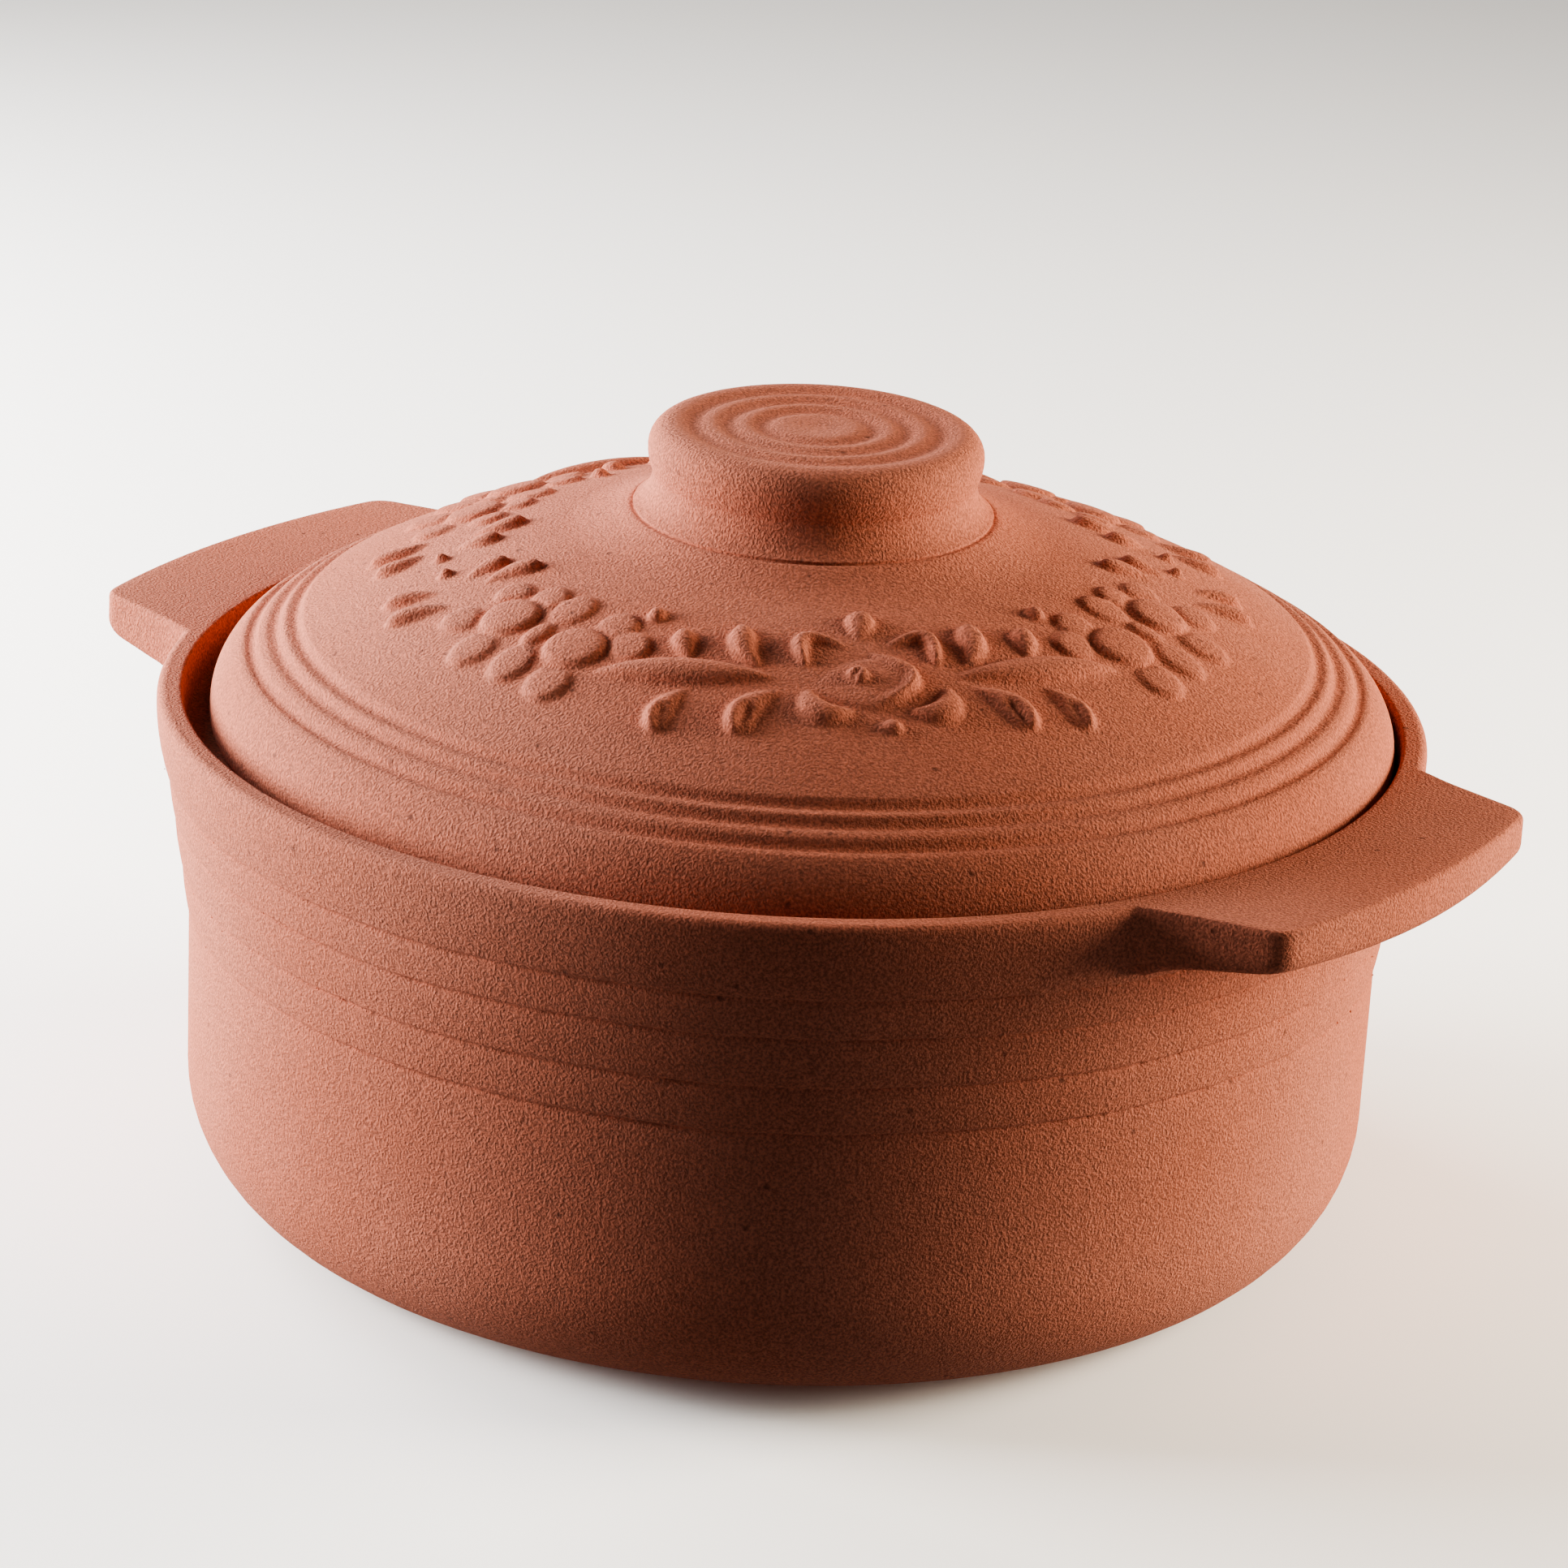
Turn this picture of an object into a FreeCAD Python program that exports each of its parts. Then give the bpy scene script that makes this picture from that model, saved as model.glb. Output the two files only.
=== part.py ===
import FreeCAD, Part
import Sketcher
import math
import os
from FreeCAD import Vector

# Clay roaster: a round unglazed clay pot with two flat ear handles, and a domed lid with a ringed
# knob and a wreath of flowers in low relief. The lid stands loose on a ledge inside the pot's rim.
# Millimetres, +Z up, origin at the middle of the pot's foot, handles along X.

SIZES = {
    # pot
    "pot_height": 108.0,
    "rim_inner_radius": 125.0,
    "rim_width": 5.2,
    "rim_round": 1.8,
    "lip_round": 0.8,
    "ledge_drop": 8.0,
    "ledge_draft": 1.0,
    "ledge_edge_round": 1.2,
    "wall_inset": 7.7,
    "wall_thickness": 9.5,
    "floor_thickness": 9.0,
    "base_round": 27.5,
    "inner_round": 19.0,
    # four thrown bands under the rim, each ending in a small crease; insets are from the rim's outer edge
    "crease_1_drop": 16.3,
    "crease_2_drop": 24.8,
    "crease_3_drop": 35.4,
    "crease_4_drop": 45.4,
    "crease_1_inset": 2.7,
    "crease_2_inset": 4.1,
    "crease_3_inset": 5.8,
    "crease_4_inset": 7.3,
    "crease_step": 0.5,
    "crease_lip": 0.8,
    "band_curve": 40.0,
    # handles, measured out from the rim's outer edge
    "handle_length": 22.4,
    "handle_tip_curve": 200.0,
    "handle_tip_half": 45.8,
    "handle_waist_half": 49.6,
    "handle_root_half": 56.0,
    "handle_cove_inset": 12.2,
    "handle_cove_end": 1.8,
    "handle_root_depth": 15.2,
    "handle_waist_depth": 10.9,
    "handle_tip_depth": 9.0,
    "handle_corner_round": 4.0,
    "handle_under_round": 3.0,
    "handle_edge_round": 1.2,
    # lid, measured up from the face that stands on the ledge
    "lid_gap": 3.5,
    "lid_foot_round": 3.0,
    "lid_foot_width": 9.5,
    "lid_wall": 8.5,
    "lid_shift_x": 1.6,
    "lid_shift_y": 1.4,
    "lid_turn": -45.6,
    "dome_apex": 49.5,
    "edge_curve": 14.5,
    "edge_height": 4.7,
    # neck and knob; heights are from the dome's apex, widths from the knob's radius
    "flare_spread": 15.8,
    "neck_spread": 2.8,
    "neck_drop": 0.4,
    "neck_cove": 8.0,
    "neck_crease": 0.9,
    "knob_rise": 16.9,
    "knob_radius": 34.2,
    "knob_round": 5.0,
    "knob_foot_inset": 1.2,
    "knob_foot_rise": 6.6,
    "knob_side_curve": 12.0,
    "knob_ring_first": 11.2,
    "knob_ring_pitch": 6.9,
    "knob_ring_round": 6.0,
    "knob_ring_depth": 0.8,
    "edge_ring_1_inset": 16.8,
    "edge_ring_2_inset": 12.7,
    "edge_ring_3_inset": 7.9,
    "edge_ring_round": 2.4,
    "edge_ring_depth": 0.6,
    # wreath of leaves and flowers on the dome
    "wreath_radius": 75.0,
    "wreath_root": 1.2,
}

# What is measured from the rim: the pot's outer edge and upright wall, and the lid's edge and foot.
RIM_OUTER = "rim_inner_radius + rim_width"
WALL_OUTER = RIM_OUTER + " - wall_inset"
WALL_INNER = WALL_OUTER + " - wall_thickness"
LEDGE = "pot_height - ledge_drop"
LID_EDGE = "rim_inner_radius - lid_gap"
LID_FOOT = LID_EDGE + " - lid_foot_width"
NECK = "knob_radius + neck_spread"
NECK_FOOT = "dome_apex - neck_drop"
KNOB_TOP = "dome_apex + knob_rise"

# The wreath's forms: turn in degrees and distance in mm from the wreath's circle, for the tip and
# then for the far end; then width, sideways bow, height, and how each end closes.
POINTED, ROUND = 1.0, 0.5
ROSE = [
    ((-8.0, 0.6), (4.0, -1.6), 15.0, 0.0, 1.4, ROUND, ROUND),
    ((1.0, -9.8), (-0.4, 4.2), 5.0, 6.4, 2.4, 0.8, 0.8),
    ((-2.6, -2.8), (-0.4, -2.8), 2.8, 0.0, 3.0, ROUND, ROUND),
    ((0.0, -14.8), (1.4, -23.0), 5.2, 0.0, 1.9, POINTED, ROUND),
    ((-1.4, 10.4), (3.0, 10.4), 3.6, 0.0, 1.7, POINTED, ROUND),
]
SPRAY = [
    ((4.4, -12.4), (11.4, -5.2), 5.2, 5.0, 2.1, POINTED, ROUND),
    ((16.0, -4.6), (21.2, -16.4), 5.2, -2.0, 2.0, POINTED, ROUND),
    ((27.8, -4.2), (31.8, -12.4), 4.8, -0.8, 1.8, POINTED, ROUND),
    ((38.6, -13.8), (40.2, -17.2), 3.6, 0.0, 1.5, ROUND, ROUND),
    ((16.2, -1.4), (40.6, 6.6), 6.0, 1.2, 1.9, POINTED, POINTED),
    ((14.4, 1.6), (19.6, 13.8), 5.6, 2.4, 2.0, POINTED, ROUND),
    ((26.4, 4.0), (27.6, 16.2), 4.4, 2.2, 1.8, POINTED, ROUND),
    ((10.2, 1.8), (4.2, 9.6), 6.0, 4.0, 2.0, POINTED, ROUND),
]
FLOWER_PAIR = [
    ((42.0, -0.1), (51.8, -0.1), 12.6, 0.0, 2.2, ROUND, ROUND),
    ((57.8, -1.5), (67.4, -1.5), 12.2, 0.0, 2.2, ROUND, ROUND),
    ((41.4, -2.6), (36.2, -6.6), 9.0, 0.0, 1.8, ROUND, ROUND),
    ((44.8, -5.6), (43.2, -13.2), 8.0, 0.0, 1.8, ROUND, ROUND),
    ((54.6, -4.6), (54.8, -14.6), 8.0, 0.0, 1.8, ROUND, ROUND),
    ((61.8, -6.4), (61.8, -14.0), 7.6, 0.0, 1.8, ROUND, ROUND),
    ((66.6, -5.4), (71.4, -8.6), 7.8, 0.0, 1.8, ROUND, ROUND),
    ((66.8, 2.0), (71.4, 6.8), 8.4, 0.0, 1.9, ROUND, ROUND),
    ((61.4, 4.0), (60.4, 14.0), 8.6, 0.0, 1.9, ROUND, ROUND),
    ((54.0, 3.0), (52.2, 13.6), 8.2, 0.0, 1.9, ROUND, ROUND),
    ((46.6, 5.6), (44.4, 14.8), 9.0, 0.0, 1.9, ROUND, ROUND),
    ((54.9, -4.2), (54.9, 3.2), 4.6, 0.0, 1.4, ROUND, ROUND),
]
SIDE_SPRIG = [
    ((75.2, -16.0), (77.4, -4.6), 5.2, 1.4, 1.9, POINTED, ROUND),
    ((82.6, -11.6), (81.6, -2.6), 4.8, 1.2, 1.8, POINTED, ROUND),
    ((74.6, 3.6), (78.0, 15.0), 5.2, 1.4, 1.9, POINTED, ROUND),
    ((80.6, 3.6), (83.6, 13.2), 4.8, 1.2, 1.8, POINTED, ROUND),
    ((85.4, 0.2), (87.4, 0.2), 3.0, 0.0, 1.4, ROUND, ROUND),
]
# One form's outlines, from its root to its crown: share of its height, length and width.
SHOULDER = (0.6, 0.9, 0.8)
CROWN = (1.0, 0.62, 0.36)


def amount(text):
    """Value of a sum of named sizes, such as 'pot_height - ledge_drop'."""
    total, sign = 0.0, 1.0
    for word in text.split():
        if word in "+-":
            sign = 1.0 if word == "+" else -1.0
        elif word != "0":
            total += sign * SIZES[word]
    return total


def dome_curve():
    """Radius of the dome's curve, which runs from its apex into the lid's rounded edge."""
    rise = amount("dome_apex - edge_height")
    reach = amount(LID_EDGE + " - edge_curve")
    return (reach ** 2 + rise ** 2 - SIZES["edge_curve"] ** 2) / (2 * (rise - SIZES["edge_curve"]))


SIZES["dome_radius"] = dome_curve()

doc = FreeCAD.newDocument("clay_roaster")
sheet = doc.addObject("Spreadsheet::Sheet", "sizes")
for row, (name, size) in enumerate(SIZES.items(), start=1):
    sheet.set("A%d" % row, name)
    sheet.set("B%d" % row, str(size))
    sheet.setAlias("B%d" % row, name)
doc.recompute()


def bound(text):
    """The same sum as an expression on the sheet."""
    return " ".join(word if word in "+-" or word == "0" else "sizes." + word for word in text.split())


def start_of(place):
    """A place's number: a text names a bound size, a number is only where a free point starts."""
    return amount(place) if isinstance(place, str) else place


def origin_plane(body, role):
    return next(plane for plane in body.Origin.OriginFeatures if plane.Role == role)


class Outline:
    """A closed sketch drawn corner by corner, with its sizes tied to the sheet."""

    def __init__(self, body, name, role):
        self.sketch = body.newObject("Sketcher::SketchObject", name)
        self.sketch.AttachmentSupport = [(origin_plane(body, role), "")]
        self.sketch.MapMode = "FlatFace"

    def bind(self, constraint, text):
        index = self.sketch.addConstraint(constraint)
        self.sketch.setExpression("Constraints[%d]" % index, bound(text))

    def pin(self, geometry, point, place):
        """Hold a point at its bound x and y; a free coordinate is left to the curves."""
        for axis, kind, coordinate in ((-2, "DistanceX", place[0]), (-1, "DistanceY", place[1])):
            if coordinate == "0":
                self.sketch.addConstraint(Sketcher.Constraint("PointOnObject", geometry, point, axis))
            elif isinstance(coordinate, str):
                value = amount(coordinate)
                self.bind(Sketcher.Constraint(kind, -1, 1, geometry, point, value), coordinate)

    def draw(self, steps, smooth=()):
        """steps: (corner, curve) pairs. A curve is None for a line, or (radius, side, centre) for an
        arc to the next corner: side +1 has the centre on the left, centre may be None."""
        ends = []
        for number, (corner, curve) in enumerate(steps):
            here = Vector(start_of(corner[0]), start_of(corner[1]), 0)
            follower = steps[(number + 1) % len(steps)][0]
            there = Vector(start_of(follower[0]), start_of(follower[1]), 0)
            if curve is None:
                geometry = self.sketch.addGeometry(Part.LineSegment(here, there))
                ends.append((geometry, 1, 2))
                continue
            radius, side, centre = curve
            size = start_of(radius)
            if centre:
                middle = Vector(start_of(centre[0]), start_of(centre[1]), 0)
            else:
                chord = there - here
                lift = math.sqrt(max(size ** 2 - chord.Length ** 2 / 4, 0.0))
                middle = (here + there) / 2 + Vector(-chord.y, chord.x, 0) / chord.Length * lift * side
            angles = [math.atan2(end.y - middle.y, end.x - middle.x) for end in (here, there)]
            if side < 0:
                angles.reverse()
            circle = Part.Circle(middle, Vector(0, 0, 1), size)
            geometry = self.sketch.addGeometry(Part.ArcOfCircle(circle, angles[0], angles[1]))
            ends.append((geometry, 1, 2) if side > 0 else (geometry, 2, 1))
            if isinstance(radius, str):
                self.bind(Sketcher.Constraint("Radius", geometry, size), radius)
            if centre:
                self.pin(geometry, 3, centre)
        for number, (geometry, start, _) in enumerate(ends):
            before, _, finish = ends[number - 1]
            kind = "Tangent" if number in smooth else "Coincident"
            self.sketch.addConstraint(Sketcher.Constraint(kind, before, finish, geometry, start))
        for (corner, _), (geometry, start, _) in zip(steps, ends):
            self.pin(geometry, start, corner)
        return self.sketch

    def draw_circle(self, radius, centre):
        """A whole circle; a number in its centre is only where a free point starts."""
        middle = Vector(start_of(centre[0]), start_of(centre[1]), 0)
        geometry = self.sketch.addGeometry(Part.Circle(middle, Vector(0, 0, 1), amount(radius)))
        self.bind(Sketcher.Constraint("Radius", geometry, amount(radius)), radius)
        self.pin(geometry, 3, centre)
        return geometry


def revolve(body, kind, name, sketch):
    feature = body.newObject(kind, name)
    feature.Profile = sketch
    feature.ReferenceAxis = (sketch, ["V_Axis"])
    feature.Angle = 360.0
    doc.recompute()
    return feature


def make_vessel():
    """The pot's wall, ledge and floor as one turned form."""
    body = doc.addObject("PartDesign::Body", "vessel")
    steps = [
        (("0", "0"), None),
        ((WALL_OUTER + " - base_round", "0"), ("base_round", 1, None)),
        ((WALL_OUTER, "base_round"), None),
    ]
    for crease in (4, 3, 2, 1):
        radius, height = RIM_OUTER + " - crease_%d_inset" % crease, "pot_height - crease_%d_drop" % crease
        steps.append(((radius, height), None))
        steps.append(((radius + " + crease_step", height + " + crease_lip"), ("band_curve", 1, None)))
    steps += [
        ((RIM_OUTER, "pot_height - rim_round"), ("rim_round", 1, None)),
        ((RIM_OUTER + " - rim_round", "pot_height"), None),
        (("rim_inner_radius + lip_round", "pot_height"), ("lip_round", 1, None)),
        (("rim_inner_radius", "pot_height - lip_round"), None),
        (("rim_inner_radius - ledge_draft", LEDGE), None),
        ((WALL_INNER + " + ledge_edge_round", LEDGE), ("ledge_edge_round", 1, None)),
        ((WALL_INNER, LEDGE + " - ledge_edge_round"), None),
        ((WALL_INNER, "floor_thickness + inner_round"), ("inner_round", -1, None)),
        ((WALL_INNER + " - inner_round", "floor_thickness"), None),
        (("0", "floor_thickness"), None),
    ]
    section = Outline(body, "vessel_section", "XZ_Plane").draw(steps)
    revolve(body, "PartDesign::Revolution", "vessel_turned", section)
    return body


def edges_where(shape, wanted):
    return ["Edge%d" % number for number, edge in enumerate(shape.Edges, start=1) if wanted(edge)]


def make_handle():
    """One ear handle, level with the rim, its end buried in the rim's thickness."""
    body = doc.addObject("PartDesign::Body", "handle")
    buried = "rim_inner_radius + rim_round"
    reach = RIM_OUTER + " + handle_length"
    curve_centre = reach + " - handle_tip_curve"
    root_x = math.sqrt(amount(buried) ** 2 - SIZES["handle_root_half"] ** 2)
    tip_x = amount(curve_centre) + math.sqrt(SIZES["handle_tip_curve"] ** 2 - SIZES["handle_tip_half"] ** 2)
    # a first guess: the side that the root's hollow runs into sets it
    root_curve = 48.0
    plan = Outline(body, "handle_plan", "XY_Plane").draw([
        ((root_x, "- handle_root_half"), (root_curve, -1, None)),
        ((RIM_OUTER, "- handle_waist_half"), None),
        ((tip_x, "- handle_tip_half"), ("handle_tip_curve", 1, (curve_centre, "0"))),
        ((tip_x, "handle_tip_half"), None),
        ((RIM_OUTER, "handle_waist_half"), (root_curve, -1, None)),
        ((root_x, "handle_root_half"), (buried, -1, ("0", "0"))),
    ], smooth=(1, 4))
    plan.setExpression("AttachmentOffset.Base.z", "sizes.pot_height")
    pad = body.newObject("PartDesign::Pad", "handle_slab")
    pad.Profile = plan
    pad.Reversed = True
    pad.setExpression("Length", "sizes.handle_root_depth")
    doc.recompute()
    slab_volume = pad.Shape.Volume
    # the underside leaves the wall in a hollow curve and rises on to the thinner tip
    cove_start, cove_end = RIM_OUTER + " - handle_cove_inset", RIM_OUTER + " + handle_cove_end"
    deep, thin = "pot_height - handle_root_depth", "pot_height - handle_tip_depth"
    below, beyond = deep + " - handle_edge_round", reach + " + handle_corner_round"
    # a first guess: the slope that the hollow curve runs into sets it
    cove_curve = 25.0
    wedge = Outline(body, "handle_underside", "XZ_Plane").draw([
        ((cove_start, deep), (cove_curve, -1, None)),
        ((cove_end, "pot_height - handle_waist_depth"), None),
        ((beyond, thin), None),
        ((beyond, below), None),
        ((cove_start, below), None),
    ], smooth=(1,))
    cut = body.newObject("PartDesign::Pocket", "handle_taper")
    cut.Profile = wedge
    cut.Midplane = True
    cut.setExpression("Length", "2 * sizes.handle_root_half + 2 * sizes.handle_corner_round")
    doc.recompute()
    if not 0 < cut.Shape.Volume < slab_volume:
        raise RuntimeError("handle_taper cut nothing")

    def upright(edge):
        ends = [vertex.Point for vertex in edge.Vertexes]
        return math.hypot(ends[0].x - ends[-1].x, ends[0].y - ends[-1].y) < 0.01

    def tip_corner(edge):
        return upright(edge) and edge.Vertexes[0].Point.x > amount(cove_end)

    def middle_of(edge):
        return edge.valueAt((edge.FirstParameter + edge.LastParameter) / 2)

    def free_edge(edge):
        middle = middle_of(edge)
        across = abs(edge.Vertexes[0].Point.y - edge.Vertexes[-1].Point.y) > SIZES["handle_root_half"]
        inside = across and middle.x < amount(reach) - SIZES["handle_under_round"]
        return not upright(edge) and not inside and math.hypot(middle.x, middle.y) > amount(buried) + 0.2

    def top_edge(edge):
        return free_edge(edge) and middle_of(edge).z > amount("pot_height - handle_edge_round")

    def under_edge(edge):
        return free_edge(edge) and not top_edge(edge) and middle_of(edge).x > amount(cove_end)

    rounded = cut
    for name, radius, wanted in (("handle_corners", "handle_corner_round", tip_corner),
                                 ("handle_under_edge", "handle_under_round", under_edge),
                                 ("handle_top_edge", "handle_edge_round", top_edge)):
        fillet = body.newObject("PartDesign::Fillet", name)
        fillet.Base = (rounded, edges_where(rounded.Shape, wanted))
        fillet.setExpression("Radius", "sizes." + radius)
        doc.recompute()
        rounded = fillet
    return body


def make_lid_form():
    """The lid without its wreath: foot, ringed edge, dome, neck and ringed knob, turned in one piece."""
    body = doc.addObject("PartDesign::Body", "lid_form")
    dome_centre = ("0", "dome_apex - dome_radius")
    flare = "knob_radius + flare_spread"
    # first guesses: what the dome's curve runs into sets them
    edge_x = amount(LID_EDGE) - 0.5 * SIZES["edge_curve"]
    flare_curve = 45.0
    under_radius = amount("dome_radius - lid_wall")
    seat_x = amount(LID_FOOT + " - lid_foot_round")
    seat_z = amount(dome_centre[1]) + math.sqrt(under_radius ** 2 - seat_x ** 2)
    section = Outline(body, "lid_section", "XZ_Plane").draw([
        (("0", KNOB_TOP), None),
        (("0", amount("dome_apex - lid_wall")), ("dome_radius - lid_wall", -1, dome_centre)),
        ((LID_FOOT + " - lid_foot_round", seat_z), None),
        ((LID_FOOT, "0"), None),
        ((LID_EDGE + " - lid_foot_round", "0"), ("lid_foot_round", 1, None)),
        ((LID_EDGE, "lid_foot_round"), None),
        ((LID_EDGE, SIZES["edge_height"]), ("edge_curve", 1, None)),
        ((edge_x, dome_height(edge_x)), ("dome_radius", 1, dome_centre)),
        ((flare, dome_height(amount(flare))), (flare_curve, -1, None)),
        ((NECK, NECK_FOOT), ("neck_cove", -1, None)),
        (("knob_radius - knob_foot_inset", "dome_apex + knob_foot_rise"), ("knob_side_curve", 1, None)),
        (("knob_radius", KNOB_TOP + " - knob_round"), ("knob_round", 1, None)),
        (("knob_radius - knob_round", KNOB_TOP), None),
    ], smooth=(6, 7, 8))
    turned = revolve(body, "PartDesign::Revolution", "lid_turned", section)
    for name, draw_rings in (("knob_rings", draw_knob_rings), ("neck_crease", draw_neck_crease),
                             ("edge_rings", draw_edge_rings)):
        rings = Outline(body, name + "_section", "XZ_Plane")
        draw_rings(rings)
        volume = turned.Shape.Volume
        turned = revolve(body, "PartDesign::Groove", name, rings.sketch)
        if not 0 < turned.Shape.Volume < volume:
            raise RuntimeError(name + " cut nothing")
    return body


def draw_knob_rings(rings):
    """Three shallow rings cut into the knob's flat top."""
    radius = "knob_ring_first"
    for _ in range(3):
        rings.draw_circle("knob_ring_round", (radius, KNOB_TOP + " + knob_ring_round - knob_ring_depth"))
        radius += " + knob_ring_pitch"


def draw_neck_crease(rings):
    """A fine crease where the neck meets the dome."""
    rings.draw_circle("neck_crease", (NECK, NECK_FOOT))


def draw_edge_rings(rings):
    """Three valleys round the lid's edge, each as deep as the others, square to the dome."""
    reach = "dome_radius + edge_ring_round - edge_ring_depth"
    guide = rings.draw_circle(reach, ("0", "dome_apex - dome_radius"))
    rings.sketch.toggleConstruction(guide)
    for number in (1, 2, 3):
        radius = LID_EDGE + " - edge_ring_%d_inset" % number
        height = math.sqrt(amount(reach) ** 2 - amount(radius) ** 2)
        ring = rings.draw_circle("edge_ring_round", (radius, amount("dome_apex - dome_radius") + height))
        rings.sketch.addConstraint(Sketcher.Constraint("PointOnObject", ring, 3, guide))


def dome_height(radius):
    """Height of the dome's face above the lid's seat."""
    return amount("dome_apex - dome_radius") + math.sqrt(SIZES["dome_radius"] ** 2 - radius ** 2)


def wreath_form(form, turn, side):
    """One leaf, petal or flower heart: a closed loft of three outlines, from under the dome's face
    to a small flat crown. side -1 gives the mirror image."""
    (tip_turn, tip_out), (end_turn, end_out), width, bow, height, near, far = form
    middle_turn = (tip_turn + end_turn) / 2
    radius = SIZES["wreath_radius"] + (tip_out + end_out) / 2
    angle = math.radians(turn + side * middle_turn)
    slope = math.asin(radius / SIZES["dome_radius"])
    out = Vector(math.cos(angle), math.sin(angle), 0)
    up = out * math.sin(slope) + Vector(0, 0, math.cos(slope))
    down = out * math.cos(slope) - Vector(0, 0, math.sin(slope))
    along = Vector(-math.sin(angle), math.cos(angle), 0) * side
    centre = out * radius + Vector(0, 0, dome_height(radius))
    half = Vector(math.radians(end_turn - tip_turn) * radius / 2, (end_out - tip_out) / math.cos(slope) / 2, 0)
    across = Vector(half.y, -half.x, 0).normalize()
    stations = [(1 - math.cos(math.pi * step / 5)) / 2 for step in range(6)]
    fullest = near / (near + far)
    peak = fullest ** near * (1 - fullest) ** far

    def outline(level, length_share, width_share):
        left, right = [], []
        for station in stations:
            reach = station ** near * (1 - station) ** far / peak * width / 2 * width_share
            place = 0.5 + (station - 0.5) * length_share
            spine = half * (2 * place - 1) + across * (4 * bow * place * (1 - place))
            heading = half * 2 + across * (4 * bow * (1 - 2 * place))
            beside = Vector(heading.y, -heading.x, 0).normalize()
            for row, offset in ((left, reach), (right, -reach)):
                point = spine + beside * offset
                row.append(centre + along * point.x + down * point.y + up * level)
        return Part.makePolygon(left + right[-2:0:-1] + left[:1])

    sections = [outline(-SIZES["wreath_root"], 1.0, 1.0)]
    for height_share, length_share, width_share in (SHOULDER, CROWN):
        sections.append(outline(height_share * height, length_share, width_share))
    solid = Part.makeLoft(sections, True, True)
    if solid.Volume < 0:
        solid.reverse()
    return solid


def make_wreath():
    """Two roses face each other across the lid; sprays, flower pairs and sprigs mirror between them."""
    wreath = doc.addObject("Part::Feature", "wreath")
    solids = []
    for turn in (0, 180):
        solids += [wreath_form(form, turn, 1) for form in ROSE]
        for side in (1, -1):
            solids += [wreath_form(form, turn, side) for form in SPRAY + FLOWER_PAIR + SIDE_SPRIG]
    wreath.Shape = solids[0].multiFuse(solids[1:])
    return wreath


vessel = make_vessel()
handle = make_handle()
handle_mirror = doc.addObject("Part::Mirroring", "handle_mirror")
handle_mirror.Source = handle
handle_mirror.Normal = Vector(1, 0, 0)
pot = doc.addObject("Part::MultiFuse", "pot")
pot.Shapes = [vessel, handle, handle_mirror]
pot.Refine = True

lid_form = make_lid_form()
lid = doc.addObject("Part::MultiFuse", "lid")
lid.Shapes = [lid_form, make_wreath()]
lid.setExpression("Placement.Base.x", "sizes.lid_shift_x")
lid.setExpression("Placement.Base.y", "sizes.lid_shift_y")
lid.setExpression("Placement.Base.z", bound(LEDGE))
lid.Placement.Rotation = FreeCAD.Rotation(Vector(0, 0, 1), SIZES["lid_turn"])
doc.recompute()

for item in doc.Objects:
    if "Invalid" in item.State or "Error" in item.State:
        raise RuntimeError("%s failed: %s" % (item.Name, item.State))
for piece in (pot, lid):
    if piece.Shape.isNull() or not piece.Shape.isValid() or len(piece.Shape.Solids) != 1:
        raise RuntimeError("%s is not one sound solid" % piece.Label)

os.makedirs("parts", exist_ok=True)
for piece in (pot, lid):
    piece.Shape.exportStep("parts/%s.step" % piece.Label)
    box = piece.Shape.BoundBox
    print(piece.Label, "volume %.0f mm3" % piece.Shape.Volume, "box", box)
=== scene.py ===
"""Dresses the packed clay roaster: a fine mesh for the pot and for the lid with its wreath, bare fired
clay as it looks from close by, and a plain soft studio."""

import math

import bmesh
import bpy
import numpy as np
from mathutils import Matrix, Vector


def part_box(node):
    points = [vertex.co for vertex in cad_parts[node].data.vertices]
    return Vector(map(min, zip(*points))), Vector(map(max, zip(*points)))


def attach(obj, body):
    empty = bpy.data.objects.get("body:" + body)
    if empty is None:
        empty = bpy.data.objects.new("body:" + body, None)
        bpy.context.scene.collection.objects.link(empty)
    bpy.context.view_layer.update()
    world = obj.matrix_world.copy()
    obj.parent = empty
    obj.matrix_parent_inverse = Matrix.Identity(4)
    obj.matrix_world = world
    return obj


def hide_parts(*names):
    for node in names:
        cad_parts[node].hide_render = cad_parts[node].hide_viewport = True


bl_info = {
    "name": "Clay Roaster",
    "version": (1, 0, 0),
    "blender": (4, 5, 0),
    "location": "3D View > Sidebar > Clay Roaster",
    "description": "Builds a lidded clay casserole with a wreath in low relief on its packed frame",
    "category": "Add Mesh",
}

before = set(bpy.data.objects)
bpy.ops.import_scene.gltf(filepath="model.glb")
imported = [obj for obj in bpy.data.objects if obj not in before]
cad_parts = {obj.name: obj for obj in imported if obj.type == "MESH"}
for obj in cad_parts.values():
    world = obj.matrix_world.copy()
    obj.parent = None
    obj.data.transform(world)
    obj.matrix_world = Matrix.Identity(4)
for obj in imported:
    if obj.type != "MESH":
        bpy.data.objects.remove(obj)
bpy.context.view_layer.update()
POT_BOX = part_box("pot")
MM = 0.001


def linear(hex_colour):
    """An sRGB hex colour as linear red, green and blue."""
    shares = [int(hex_colour[at : at + 2], 16) / 255 for at in (1, 3, 5)]
    return tuple(c / 12.92 if c <= 0.04045 else ((c + 0.055) / 1.055) ** 2.4 for c in shares)


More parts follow.
